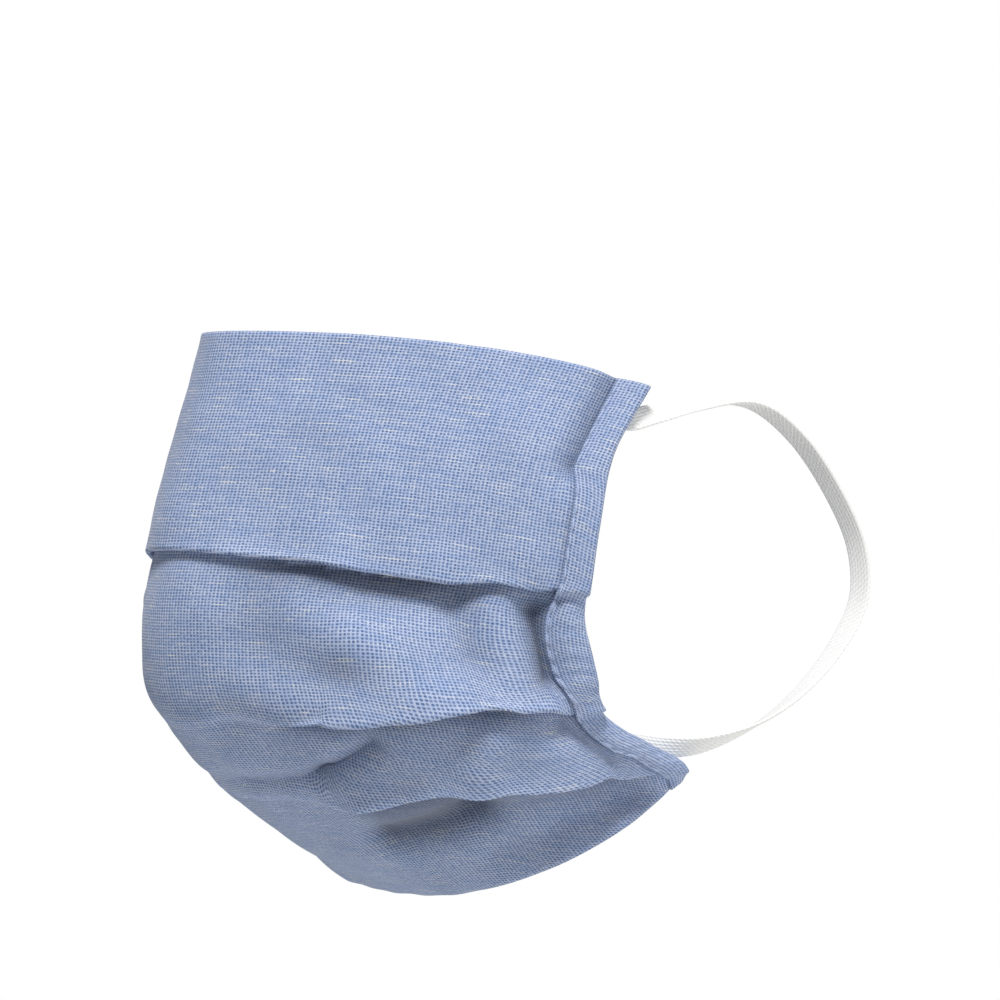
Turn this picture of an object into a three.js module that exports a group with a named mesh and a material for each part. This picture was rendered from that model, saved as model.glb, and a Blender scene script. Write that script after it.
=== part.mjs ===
// A pleated cloth face mask with elastic ear loops, in the shape it takes when it is worn.
// Millimetres, +Z up. The wearer faces -Y, and the origin is the middle of the mask's top edge.
import * as THREE from 'three';

// The worn shape: how far the side hems stand apart, how far the mask runs back and how far down
const wornSpread = 62;
const wornDepth = 88;
const wornDrop = 125;

// The cloth and its pleats
const clothThickness = 1;
const layerGap = 0.4;
const pleatDepth = 12;
const pleatOpening = 4;
const pleatLift = 3;
const liftReach = 16;

// The casing folded round each side edge, and the room between it and what it holds
const casingWidth = 8;
const casingThickness = 0.8;
const casingGap = 0.5;
const casingStep = 2.2;

// The elastic and the way an ear loop runs
const elasticWidth = 5;
const elasticThickness = 1;
const elasticBevel = 0.3;
const sewnLength = 6.5;
const seatGap = 0.4;
const loopReach = 57;
const loopFlare = 13;

// The soft dents and ridges in the cloth
const creaseHeight = 2.4;
const creaseWidth = 8;

// Each row crosses the mask from its middle to the side hem as one Bezier curve, in shares of the
// worn sizes: [spread, depth, drop], with no spread at mid. Round says how far the row runs
// straight across the nose before it turns back.
const rows = [
  { at: 'top', round: 0.26, mid: [0, 0], cheek: [0.87, 0.43, -0.002], hem: [1.065, 0.802, -0.1] },
  { at: 'nose', round: 0.26, mid: [-0.065, -0.19], cheek: [0.88, 0.35, -0.21], hem: [1.04, 0.69, -0.228] },
  { at: 'fold 1', round: 0.28, mid: [-0.142, -0.384], cheek: [0.855, 0.307, -0.45], hem: [1, 0.635, -0.452] },
  { at: 'mouth', round: 0.34, mid: [-0.17, -0.51], cheek: [0.87, 0.27, -0.53], hem: [0.968, 0.628, -0.51] },
  { at: 'lip', round: 0.4, mid: [-0.142, -0.64], cheek: [0.92, 0.31, -0.6], hem: [0.944, 0.662, -0.592] },
  { at: 'fold 2', round: 0.48, mid: [-0.01, -0.732], cheek: [1, 0.36, -0.684], hem: [0.927, 0.7, -0.66] },
  { at: 'chin', round: 0.48, mid: [0.163, -0.852], cheek: [1.016, 0.48, -0.75], hem: [0.92, 0.79, -0.712] },
  { at: 'fold 3', round: 0.48, mid: [0.325, -0.93], cheek: [1, 0.64, -0.8], hem: [0.92, 0.98, -0.771] },
  { at: 'hollow', round: 0.45, mid: [0.45, -0.978], cheek: [0.93, 0.7, -0.845], hem: [0.895, 1.02, -0.778] },
  { at: 'edge', round: 0.52, mid: [0.57, -1.018], cheek: [1.05, 0.72, -0.925], hem: [0.84, 1.035, -0.793] },
];

// Each pleat folds down over the panel below it. Its edge lies on one row at the hems and runs to
// another in the middle, between the two shares of the half width at settles. Overlap is a share of
// pleatDepth, and closed says how flat the fold is pressed, both in the middle of the mask; at the
// hems both are whole. The lip stands off by a share of pleatLift over the cheeks.
const pleats = [
  { row: 2, middleRow: 2.08, settles: [0.2, 0.95], overlap: 0.45, closed: 1, opensFrom: 0.1, lift: 0.6 },
  { row: 5, middleRow: 5.2, settles: [0.28, 0.55], overlap: 0.1, closed: 0, opensFrom: 0.3, lift: 0.8 },
  { row: 7, middleRow: 6.5, settles: [0.4, 0.95], overlap: 0, closed: 0.1, opensFrom: 0.25, lift: 1.2 },
];

// A pleat closes over closesOver of the half width, from where it opens. Its lip starts to stand
// off, is whole, sinks again and is flat at the shares of lipBow.
const closesOver = 0.25;
const lipBow = { starts: 0.32, whole: 0.52, sinks: 0.68, flat: 0.91 };

// Soft ridges (height above 0) and valleys, each along a straight line between two places given
// as [share of the half width, row], as shares of creaseHeight and creaseWidth
const creases = [
  { at: 'valley beside the top hem', from: [0.91, 0], to: [0.9, 1.5], height: -0.6, width: 0.8 },
  { at: 'valley beside the middle hem', from: [0.88, 2.2], to: [0.88, 4.7], height: -1, width: 0.7 },
  { at: 'ridge before the middle hem', from: [0.77, 2.4], to: [0.8, 4.7], height: 0.5, width: 0.8 },
  { at: 'upper ridge over the cheek', from: [0.32, 2.6], to: [0.5, 3.4], height: 0.5, width: 0.9 },
  { at: 'lower ridge over the cheek', from: [0.5, 3.4], to: [0.6, 4.6], height: 0.5, width: 0.9 },
  { at: 'hollow below the upper ridge', from: [0.26, 3.3], to: [0.4, 3.8], height: -0.5, width: 1 },
  { at: 'ridge under the second fold', from: [0.61, 5.9], to: [0.76, 5.4], height: 0.6, width: 0.8 },
  { at: 'valley beside the lower hem', from: [0.88, 5.3], to: [0.87, 6.4], height: -0.5, width: 0.7 },
  { at: 'hollow under the third fold', from: [0.24, 7], to: [0.5, 7.2], height: -1.2, width: 1 },
  { at: 'end of that hollow', from: [0.5, 7.2], to: [0.85, 7.5], height: -0.8, width: 0.8 },
];

// How many faces run along and across the pieces
const facets = { across: 12, panel: [8, 8, 7, 5], turn: 2, back: 3, casingPanel: 6, loopSpan: 2 };
const surfaceRows = 120;

const turnRadius = (clothThickness + layerGap) / 2;
const worn = new THREE.Vector3(wornSpread, wornDepth, wornDrop);
const { lerp, clamp, smoothstep, degToRad } = THREE.MathUtils;

const place = (share) => new THREE.Vector3(...share).multiply(worn);

// The rows between the tabled ones, by a smooth curve through each of the four control points
function makeRowCurves() {
  const tracks = [
    rows.map((row) => place([0, ...row.mid])),
    rows.map((row) => place([row.round, ...row.mid])),
    rows.map((row) => place(row.cheek)),
    rows.map((row) => place(row.hem)),
  ].map((points) => new THREE.CatmullRomCurve3(points, false, 'centripetal'));
  const curves = [];
  for (let i = 0; i <= surfaceRows; i++) {
    const controls = tracks.map((track) => track.getPoint(i / surfaceRows));
    curves.push(new THREE.CubicBezierCurve3(...controls));
  }
  return curves;
}

const rowCurves = makeRowCurves();
const halfWidth = rowCurves[0].getLength();

// A place on the smooth worn surface, before creases: across runs from -1 to 1, hem to hem
function smoothPlace(across, i) {
  const point = rowCurves[i].getPointAt(Math.abs(across));
  point.x *= Math.sign(across);
  return point;
}

// The outward normal of a surface given as a function of across and of the row's number
function surfaceNormal(surface, across, i) {
  const step = 0.01;
  const sideways = surface(Math.min(across + step, 1), i).sub(surface(Math.max(across - step, -1), i));
  const down = surface(across, Math.min(i + 1, surfaceRows)).sub(surface(across, Math.max(i - 1, 0)));
  return down.cross(sideways).normalize();
}

function rowNumber(row) {
  return (row / (rows.length - 1)) * surfaceRows;
}

const creaseLines = creases.map((crease) => ({
  line: new THREE.Line3(
    smoothPlace(crease.from[0], Math.round(rowNumber(crease.from[1]))),
    smoothPlace(crease.to[0], Math.round(rowNumber(crease.to[1]))),
  ),
  height: crease.height * creaseHeight,
  width: crease.width * creaseWidth,
}));

// How far the creases push the cloth out at a place; both halves of the mask have the same ones
function creasePush(point) {
  const mirrored = new THREE.Vector3(Math.abs(point.x), point.y, point.z);
  const nearest = new THREE.Vector3();
  let push = 0;
  for (const { line, height, width } of creaseLines) {
    line.closestPointToPoint(mirrored, true, nearest);
    push += height * Math.exp(-((nearest.distanceTo(mirrored) / width) ** 2));
  }
  return push;
}

function creasedPlace(across, i) {
  const point = smoothPlace(across, i);
  return point.addScaledVector(surfaceNormal(smoothPlace, across, i), creasePush(point));
}

// One column of the surface, from the top edge down: it turns a distance along the column and a
// height off the surface into a place in space
function makeColumn(across) {
  const points = [];
  const normals = [];
  const lengths = [0];
  for (let i = 0; i <= surfaceRows; i++) {
    points.push(creasedPlace(across, i));
    normals.push(surfaceNormal(creasedPlace, across, i));
    if (i > 0) lengths.push(lengths[i - 1] + points[i].distanceTo(points[i - 1]));
  }
  const atRow = (row) => {
    const i = Math.min(Math.floor(rowNumber(row)), surfaceRows - 1);
    return lerp(lengths[i], lengths[i + 1], rowNumber(row) - i);
  };
  const normalAt = (along) => {
    const i = clamp(lengths.findIndex((length) => length > along) - 1, 0, surfaceRows - 1);
    const last = along >= lengths[surfaceRows] ? surfaceRows - 1 : i;
    const share = (along - lengths[last]) / (lengths[last + 1] - lengths[last]);
    const normal = normals[last].clone().lerp(normals[last + 1], clamp(share, 0, 1)).normalize();
    return { point: points[last].clone().lerp(points[last + 1], share), normal };
  };
  const placeAt = (along, height) => {
    const { point, normal } = normalAt(along);
    return point.addScaledVector(normal, height);
  };
  return { across, length: lengths[surfaceRows], atRow, placeAt, normalAt };
}

// What a pleat does at one column: where its edge lies, how far it overlaps and how closed it is,
// where its lip ends and the panel below it starts, and how far the lip stands off
function pleatAt(pleat, column) {
  const out = Math.abs(column.across);
  const edge = column.atRow(lerp(pleat.middleRow, pleat.row, smoothstep(out, ...pleat.settles)));
  const overlap = pleatDepth * lerp(pleat.overlap, 1, smoothstep(out, pleat.opensFrom, 1));
  const closed = lerp(pleat.closed, 1, smoothstep(out, pleat.opensFrom, pleat.opensFrom + closesOver));
  const rising = smoothstep(out, lipBow.starts, lipBow.whole);
  const lift = pleat.lift * pleatLift * rising * (1 - smoothstep(out, lipBow.sinks, lipBow.flat));
  return {
    edge,
    overlap,
    closed,
    lift,
    lip: lerp(edge - pleatOpening, edge, closed),
    inner: lerp(edge + pleatOpening, edge - overlap, closed),
  };
}

// The height of the visible cloth between two pleats: it starts on the surface, under the pleat
// above, climbs onto the two hidden layers of the pleat below, and lifts to that pleat's lip
function panelHeight(along, above, below, length) {
  if (!below) return 0;
  const start = above ? above.edge : 0;
  const end = Math.max(below.edge - below.overlap - turnRadius * 2, start + turnRadius);
  const layers = 4 * turnRadius * below.closed * smoothstep(Math.min(along, length), start, end);
  return layers + below.lift * smoothstep(along, below.lip - liftReach, below.lip);
}

// The middle of the cloth down one column, as [distance along the surface, height off it]
function clothPath(column) {
  const folds = pleats.map((pleat) => pleatAt(pleat, column));
  const path = [];
  let start = 0;
  for (let k = 0; k <= folds.length; k++) {
    const above = folds[k - 1];
    const below = folds[k];
    const end = below ? below.lip : column.length;
    for (let i = k === 0 ? 0 : 1; i < facets.panel[k] + (below ? 0 : 1); i++) {
      const along = lerp(start, end, i / facets.panel[k]);
      path.push([along, panelHeight(along, above, below, column.length)]);
    }
    if (below) {
      path.push(...pleatPath(below));
      start = below.inner;
    }
  }
  return path;
}

// One pleat, from its outer layer round the folded edge, back up under it and round again into the
// panel below: folded flat where it is closed, and one step down the surface where it is open
function pleatPath({ edge, overlap, closed, lift }) {
  const turned = (centre, side, base, half) =>
    Array.from({ length: facets.turn + 1 }, (_, i) => {
      const angle = (Math.PI * i) / facets.turn;
      return [centre + side * turnRadius * Math.sin(angle), base + half * (1 + Math.cos(angle))];
    });
  const hidden = Array.from({ length: facets.back - 1 }, (_, i) => [
    edge - (overlap * (i + 1)) / facets.back,
    2 * turnRadius,
  ]);
  const folded = [
    ...turned(edge, 1, 2 * turnRadius, turnRadius + lift / 2),
    ...hidden,
    ...turned(edge - overlap, -1, 0, turnRadius),
  ];
  return folded.map(([along, height], i) => {
    const share = i / (folded.length - 1);
    const open = edge + pleatOpening * (2 * share - 1);
    return [lerp(open, along, closed), lerp(lift * (1 - smoothstep(share, 0, 1)), height, closed)];
  });
}

// The two faces of the cloth, half its thickness either side of the path
function clothFaces(column) {
  const path = clothPath(column);
  const faces = { outer: [], inner: [] };
  path.forEach(([along, height], i) => {
    const [alongBefore, heightBefore] = path[Math.max(i - 1, 0)];
    const [alongAfter, heightAfter] = path[Math.min(i + 1, path.length - 1)];
    const run = new THREE.Vector2(alongAfter - alongBefore, heightAfter - heightBefore).normalize();
    const half = clothThickness / 2;
    faces.outer.push(column.placeAt(along - run.y * half, height + run.x * half));
    faces.inner.push(column.placeAt(along + run.y * half, height - run.x * half));
  });
  return faces;
}

// Two triangles for a four-sided face, split from a to c, or from b to d where it is mirrored
function splitFace([a, b, c, d], mirrored) {
  return mirrored ? [a, b, d, b, c, d] : [a, b, c, a, c, d];
}

// A closed mesh from rings of points. The first half of each ring is one face of a thin wall and
// the second half runs back along its other face, so each end closes with a strip between the two.
// Faces split one way up to the ring called middle and the mirrored way after it.
function meshFromRings(rings, middle, material, name) {
  const count = rings[0].length;
  const indices = [];
  for (let i = 0; i < rings.length - 1; i++) {
    for (let j = 0; j < count; j++) {
      const a = i * count + j;
      const b = i * count + ((j + 1) % count);
      indices.push(...splitFace([a, b, b + count, a + count], i < middle));
    }
  }
  const last = (rings.length - 1) * count;
  for (let j = 0; j < count / 2 - 1; j++) {
    const strip = [j, count - 1 - j, count - 2 - j, j + 1];
    indices.push(...splitFace(strip, false));
    indices.push(...splitFace(strip.map((k) => last + k).reverse(), false));
  }
  const geometry = new THREE.BufferGeometry();
  const positions = rings.flat().flatMap((point) => point.toArray());
  geometry.setAttribute('position', new THREE.Float32BufferAttribute(positions, 3));
  geometry.setIndex(indices);
  geometry.computeVertexNormals();
  const mesh = new THREE.Mesh(geometry, material);
  mesh.name = name;
  return mesh;
}

function matt(color, roughness) {
  return new THREE.MeshStandardMaterial({ color, roughness, metalness: 0 });
}

const clothMaterial = matt(0x8fabd3, 0.9);
const casingMaterial = matt(0x9ab3d6, 0.9);
const elasticMaterial = matt(0xf0f0ee, 0.75);

// Where the panel's columns lie on one half: evenly spaced up to the casing, closer inside it
function panelColumns() {
  const open = 1 - casingWidth / halfWidth;
  const insets = [(2 * casingWidth) / 3, casingWidth / 3, casingThickness + casingGap];
  const even = Array.from({ length: facets.across + 1 }, (_, i) => (open * i) / facets.across);
  return [...even, ...insets.map((inset) => 1 - inset / halfWidth)];
}

function makePanel() {
  const half = panelColumns();
  const columns = [...half.slice(1).reverse().map((across) => -across), ...half];
  const rings = columns.map((across) => {
    const { outer, inner } = clothFaces(makeColumn(across));
    return [...outer, ...inner.reverse()];
  });
  return meshFromRings(rings, half.length - 1, clothMaterial, 'pleated_panel');
}

// Where the casing's sections lie: each clears the turned edge of a pleat before it steps down
function casingStations() {
  const clear = turnRadius + clothThickness / 2 + casingGap;
  const breaks = pleats.flatMap(({ row }) => [[row, clear], [row, clear + casingStep]]);
  const ends = [[0, 0], ...breaks, [rows.length - 1, 0]];
  const stations = [];
  for (let k = 0; k <= pleats.length; k++) {
    for (let i = 0; i <= facets.casingPanel; i++) {
      stations.push({ k, from: ends[2 * k], to: ends[2 * k + 1], share: i / facets.casingPanel });
    }
  }
  return stations;
}

// The way out to the casing's outer wall and in to its inner wall, at one station of one column
function casingHeights(column, station, along) {
  const folds = pleats.map((pleat) => pleatAt(pleat, column));
  const clear = clothThickness / 2 + casingGap;
  const height = panelHeight(along, folds[station.k - 1], folds[station.k], column.length);
  return { out: height + clear, in: -clear };
}

// The casing's U-shaped section, as [distance in from the hem, wall, share of the wall's thickness]
function casingSection() {
  const arm = [casingWidth, (2 * casingWidth) / 3, casingWidth / 3];
  const back = [...arm].reverse();
  const corner = casingThickness / 2;
  return [
    ...arm.map((inset) => [inset, 'out', 1]),
    [corner, 'out', 1],
    [0, 'out', 0.5],
    [0, 'in', -0.5],
    [corner, 'in', -1],
    ...back.map((inset) => [inset, 'in', -1]),
    ...arm.map((inset) => [inset, 'in', 0]),
    [casingThickness + corner, 'in', 0],
    [casingThickness, 'in', 0.5],
    [casingThickness, 'out', -0.5],
    [casingThickness + corner, 'out', 0],
    ...back.map((inset) => [inset, 'out', 0]),
  ];
}

function makeCasing(side, name) {
  const section = casingSection();
  const insets = [...new Set(section.map(([inset]) => inset))];
  const columns = new Map(insets.map((inset) => [inset, makeColumn(side * (1 - inset / halfWidth))]));
  const rings = casingStations().map((station) =>
    section.map(([inset, wall, share]) => {
      const column = columns.get(inset);
      const [from, to] = [station.from, station.to].map(([row, beyond]) => column.atRow(row) + beyond);
      const along = lerp(from, to, station.share);
      const heights = casingHeights(column, station, along);
      return column.placeAt(along, heights[wall] + share * casingThickness);
    }),
  );
  if (side > 0) rings.forEach((ring) => ring.reverse());
  return meshFromRings(rings, side > 0 ? 0 : rings.length, casingMaterial, name);
}

// The free part of a loop, between its sewn ends: down is a share of the way from the upper end to
// the lower one, back a share of loopReach, out a share of loopFlare, and twist turns the band
// from facing straight out of the loop towards facing the side, in degrees
const loopRoute = [
  { down: -0.02, back: 0.12, out: 0, twist: 62 },
  { down: -0.045, back: 0.31, out: 0.08, twist: 20 },
  { down: -0.05, back: 0.57, out: 0.28, twist: -12 },
  { down: 0.045, back: 0.75, out: 0.49, twist: -20 },
  { down: 0.225, back: 0.91, out: 0.73, twist: -20 },
  { down: 0.4, back: 1, out: 0.9, twist: -20 },
  { down: 0.56, back: 0.99, out: 1, twist: -20 },
  { down: 0.72, back: 0.86, out: 1, twist: -14 },
  { down: 0.87, back: 0.66, out: 0.89, twist: 4 },
  { down: 0.96, back: 0.48, out: 0.68, twist: 25 },
  { down: 1.01, back: 0.3, out: 0.35, twist: 58 },
  { down: 1.015, back: 0.15, out: 0.05, twist: 80 },
];
const loopEnds = [{ row: 0.45 }, { row: 6.25 }];

// A sewn end lies flat on the inside of the casing and points straight out over the hem
function sewnEnd(side, row) {
  const depth = clothThickness / 2 + casingGap + casingThickness + seatGap + elasticThickness / 2;
  return [sewnLength, sewnLength / 2, 0].map((inset) => {
    const column = makeColumn(side * (1 - inset / halfWidth));
    const { point, normal } = column.normalAt(column.atRow(row));
    return { point: point.addScaledVector(normal, -depth), normal };
  });
}

// The middle of the whole band and the way its outer face looks, from the upper sewn end round
function loopFrames(side) {
  const [upper, lower] = loopEnds.map(({ row }) => sewnEnd(side, row));
  const from = upper[upper.length - 1].point;
  const to = lower[lower.length - 1].point;
  const route = loopRoute.map(({ down, back, out }) => {
    const point = from.clone().lerp(to, down);
    return point.add(new THREE.Vector3(side * loopFlare * out, loopReach * back, 0));
  });
  const points = [...upper.map(({ point }) => point), ...route, ...lower.map(({ point }) => point).reverse()];
  const normals = points.map((point, i) => {
    if (i < upper.length) return upper[i].normal;
    if (i >= points.length - lower.length) return lower[points.length - 1 - i].normal;
    const tangent = points[i + 1].clone().sub(points[i - 1]).normalize();
    const sideways = new THREE.Vector3(side, 0, 0);
    const outward = new THREE.Vector3(1, 0, 0).cross(tangent).normalize();
    const turn = degToRad(loopRoute[i - upper.length].twist);
    return outward.multiplyScalar(Math.cos(turn)).addScaledVector(sideways, Math.sin(turn));
  });
  return { points, normals };
}

function elasticSection() {
  const w = elasticWidth / 2;
  const t = elasticThickness / 2;
  const b = Math.min(elasticBevel, t * 0.8);
  return [[w, t - b], [w - b, t], [b - w, t], [-w, t - b], [-w, b - t], [b - w, -t], [w - b, -t], [w, b - t]];
}

function makeLoop(side, name) {
  const { points, normals } = loopFrames(side);
  const curve = new THREE.CatmullRomCurve3(points, false, 'centripetal');
  const spans = points.length - 1;
  const rings = [];
  for (let i = 0; i <= spans * facets.loopSpan; i++) {
    const at = i / facets.loopSpan;
    const k = Math.min(Math.floor(at), spans - 1);
    const centre = curve.getPoint(at / spans);
    const tangent = curve.getTangent(at / spans);
    const normal = normals[k].clone().lerp(normals[k + 1], at - k);
    normal.addScaledVector(tangent, -normal.dot(tangent)).normalize();
    const edgeways = normal.clone().cross(tangent);
    const corner = ([w, t]) => centre.clone().addScaledVector(edgeways, w).addScaledVector(normal, t);
    rings.push(elasticSection().map(corner));
  }
  return meshFromRings(rings, side > 0 ? 0 : rings.length, elasticMaterial, name);
}

const mask = new THREE.Group();
mask.name = 'cloth_face_mask';
mask.add(makePanel());
mask.add(makeCasing(1, 'side_casing_left'));
mask.add(makeCasing(-1, 'side_casing_right'));
mask.add(makeLoop(1, 'ear_loop_left'));
mask.add(makeLoop(-1, 'ear_loop_right'));

export default mask;
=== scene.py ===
"""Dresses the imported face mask: pleated chambray, stitched side casings and elastic ear loops.

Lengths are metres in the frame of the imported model: +Z is up, the wearer faces -Y, and the origin is
the middle of the mask's top edge.
"""

import math

import bpy
import numpy as np
from bpy.props import FloatProperty, FloatVectorProperty, IntProperty, PointerProperty
from bpy.types import Operator, Panel, PropertyGroup
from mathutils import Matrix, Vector


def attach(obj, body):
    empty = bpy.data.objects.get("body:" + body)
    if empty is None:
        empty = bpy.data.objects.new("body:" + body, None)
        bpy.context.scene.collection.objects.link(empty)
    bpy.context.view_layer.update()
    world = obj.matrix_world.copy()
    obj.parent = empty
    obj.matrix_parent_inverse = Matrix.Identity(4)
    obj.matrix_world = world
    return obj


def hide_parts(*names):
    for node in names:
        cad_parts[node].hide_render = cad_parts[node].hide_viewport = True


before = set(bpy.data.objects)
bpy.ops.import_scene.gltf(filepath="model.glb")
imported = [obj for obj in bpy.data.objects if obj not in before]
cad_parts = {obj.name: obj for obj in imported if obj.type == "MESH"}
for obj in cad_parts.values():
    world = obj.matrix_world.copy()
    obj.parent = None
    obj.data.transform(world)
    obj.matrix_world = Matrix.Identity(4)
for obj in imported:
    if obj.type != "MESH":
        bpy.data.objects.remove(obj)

bl_info = {
    "name": "Pleated face mask",
    "version": (1, 0, 0),
    "blender": (4, 5, 0),
    "location": "3D View > Sidebar > Face mask",
    "description": "Builds a pleated cotton face mask with side casings and elastic ear loops",
    "category": "Object",
}

MM = 0.001
SIDES = ((1, "left"), (-1, "right"))


def table(columns, *rows):
    """Rows of values as dictionaries under the columns' names; a row may leave out its last values."""
    return [dict(zip(columns, row)) for row in rows]


# The worn shape: how far the side hems stand apart, how far the mask runs back and how far down
WORN = np.array([62, 88, 125]) * MM

# Each row crosses the mask from its middle to the side hem as one Bezier curve, in shares of WORN:
# spread, depth and drop, with no spread at mid. Round says how far the row runs straight across the
# nose before it turns back.
ROWS = table(
    ("at", "round", "mid", "cheek", "hem"),
    ("top", 0.26, (0, 0), (0.87, 0.43, -0.002), (1.065, 0.802, -0.1)),
    ("nose", 0.26, (-0.065, -0.19), (0.88, 0.35, -0.21), (1.04, 0.69, -0.228)),
    ("fold 1", 0.28, (-0.142, -0.384), (0.855, 0.307, -0.45), (1, 0.635, -0.452)),
    ("mouth", 0.34, (-0.17, -0.51), (0.87, 0.27, -0.53), (0.968, 0.628, -0.51)),
    ("lip", 0.4, (-0.142, -0.64), (0.92, 0.31, -0.6), (0.944, 0.662, -0.592)),
    ("fold 2", 0.48, (-0.01, -0.732), (1, 0.36, -0.684), (0.927, 0.7, -0.66)),
    ("chin", 0.48, (0.163, -0.852), (1.016, 0.48, -0.75), (0.92, 0.79, -0.712)),
    ("fold 3", 0.48, (0.325, -0.93), (1, 0.64, -0.8), (0.92, 0.98, -0.771)),
    ("hollow", 0.45, (0.45, -0.978), (0.93, 0.7, -0.845), (0.895, 1.02, -0.778)),
    ("edge", 0.52, (0.57, -1.018), (1.05, 0.72, -0.925), (0.84, 1.035, -0.793)),
)

# The three pleats from the top down. Each folds down over the panel below it. Lengths are in
# millimetres, and shares across are of the half width.
PLEAT_SIZES = {
    # The row that the edge lies on at the hems, the one it lies on in the middle, and the shares
    # across between which it runs from one to the other
    "row": (2, 5, 7),
    "middle_row": (2, 4.62, 5.9),
    "settles": ((0.2, 0.95), (0.6, 0.97), (0.48, 0.97)),
    # In the middle: the share of the pleat's depth that overlaps, and how flat the fold is pressed.
    # Both grow to 1 towards the hems, from this share across
    "overlap": (0.45, 0.1, 0.05),
    "closed": (1, 0, 0.1),
    "opens_from": (0.1, 0.12, 0.08),
    # Half the cloth that the open pleat lets out
    "opening": (4, 3.4, 3.5),
    # How far the lip stands off, over how much of the cloth above it, and the shares across where
    # it starts, is whole, starts to sink and is flat again
    "lift": (1.7, 2.8, 3.2),
    "reach": (18, 12, 13),
    "bows": ((0.04, 0.4, 0.6, 0.92), (0.16, 0.36, 0.74, 0.93), (0.18, 0.32, 0.66, 0.93)),
    # How far below its lip the painted shade under the fold reaches, and how dark it is painted
    "shade_reach": (6, 4, 15),
    "dark": (0.95, 0.75, 0.9),
}
PLEATS = [dict(zip(PLEAT_SIZES, sizes)) for sizes in zip(*PLEAT_SIZES.values())]

# The share across over which a fold closes, and how much further out a fold closes and its lip
# stands off on the wearer's right, because no two sides of a worn mask crumple alike
CLOSES_OVER = 0.25
RIGHT_BOWS_LATER = 0.3

# The rim of a lip, which gets no painted shade
LIP_RIM = 0.6 * MM

# Soft ridges (height above 0) and valleys, each along a line between two places given as share of
# the half width and row. Height and width are in millimetres. Dark says how much painted shade the
# crease's valley puts into the cloth's colour, and right how much of the crease shows on the wearer's right,
# where that isn't all of it. Over the middle it grows from one side's share to the other's.
CREASES = table(
    ("at", "from", "to", "height", "width", "dark", "right"),
    ("valley beside the top hem", (0.93, 0), (0.91, 1.1), -3, 4, 0.5),
    ("valley beside the middle hem", (0.885, 2.75), (0.885, 4.2), -3.4, 4.4, 1),
    ("hem proud of that valley", (0.96, 2.7), (0.96, 4.3), 1.2, 3.2),
    ("ridge before the middle hem", (0.79, 2.7), (0.8, 4), 1.2, 4.8),
    ("dent before that ridge", (0.7, 2.7), (0.72, 3.6), -1.8, 4.8, 0.2),
    ("upper ridge over the cheek", (0.34, 2.6), (0.48, 3.3), 1.6, 6),
    ("lower ridge over the cheek", (0.48, 3.3), (0.58, 4.3), 1.6, 6.5),
    ("hollow below the upper ridge", (0.24, 3.2), (0.4, 3.9), -1.4, 7.5, 0.12),
    ("dent under the first fold", (0.5, 2.4), (0.66, 2.45), -1, 5),
    ("crease over the chin", (0.12, 4.5), (0.36, 4.55), -0.6, 2.2),
    ("valley under the chin fold", (0.03, 5.48), (0.27, 5.46), -1.8, 2.4, 0.25, 0.2),
    ("upper end of that valley", (0.27, 5.46), (0.43, 5.12), -2.6, 2.8, 0.35, 0),
    ("ridge under the second fold", (0.63, 5.75), (0.69, 5.35), 1.8, 4.6),
    ("valley beside the lower hem", (0.88, 5.4), (0.87, 6.4), -2, 3.6, 0.35),
    ("hollow under the third fold", (0.24, 6.95), (0.46, 6.85), -3.4, 5.5, 1, 0),
    ("end of that hollow", (0.48, 6.8), (0.84, 7.3), -2.4, 5.5, 0.15, 0.5),
    ("swell of the chin", (0, 4.6), (0.05, 5.1), 2.6, 12),
    ("swell over the bottom edge", (0.3, 8.4), (0.6, 8.4), 1.2, 8),
)
RIGHT_FADES_OVER = 8 * MM

# The free part of a loop, between its sewn ends: down is a share of the way from the upper end to the
# lower one, back a share of the loop's reach, out a share of its flare, and twist turns the band from
# facing straight out of the loop towards facing the side, in degrees
LOOP_ROUTE = table(
    ("down", "back", "out", "twist"),
    (-0.02, 0.12, 0, 62),
    (-0.045, 0.31, 0.08, 20),
    (-0.05, 0.57, 0.28, -12),
    (0.045, 0.75, 0.49, -20),
    (0.225, 0.91, 0.73, -20),
    (0.4, 1, 0.9, -20),
    (0.56, 0.99, 1, -20),
    (0.72, 0.86, 1, -14),
    (0.87, 0.66, 0.89, 4),
    (0.96, 0.48, 0.68, 25),
    (1.01, 0.3, 0.35, 58),
    (1.015, 0.15, 0.05, 80),
)

# The rows that a loop's two ends are sewn down at, and how far in from the hem they reach
LOOP_END_ROWS = (0.45, 6.25)
SEWN_LENGTH = 6.5 * MM

# Room between the panel's side edge and the inside of the casing's fold, and how far in from the
# hem's outer edge that fold starts to turn
EDGE_ROOM = 0.4 * MM
CASING_TURN = 1.25 * MM

# How wide the stitching pulls the casing in. A seam's pull and the swell of the wall beside it each
# have an even share of the pucker and one that comes and goes with the stitches.
PULL_WIDTH = 1.1 * MM
SEAM_PULL = (0.6, -0.4)
WALL_SWELL = (0.45, -0.25)

# In widths of the thread: how far a stitch's middle stands proud of casing and elastic, how far its
# ends sink below that, and how wide they are where they go into the cloth, at this angle of its arch
SEAM_PROUD = 0.35
TACK_PROUD = 0.3
ENDS_SINK = 1.1
END_WIDTH = 0.45
END_ANGLE = 0.06

# The tacks: how far in from the elastic's ends their rows lie, how many stand in a row, the share of
# the elastic's width that a row covers, the share of its pitch that a stitch covers, and the share of
# the elastic's half thickness that it lies at
TACK_INSETS = (1.4 * MM, 5 * MM)
TACKS_ACROSS = 3
TACKED_WIDTH = 0.8
TACK_LENGTH = 0.8
TACK_DEPTH = 0.95

# The elastic's section: its thickness between two ribs as a share of the whole, and the power that
# sets how square its edges are
RIB_VALLEY = 0.8
BAND_SQUARENESS = 6

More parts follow.
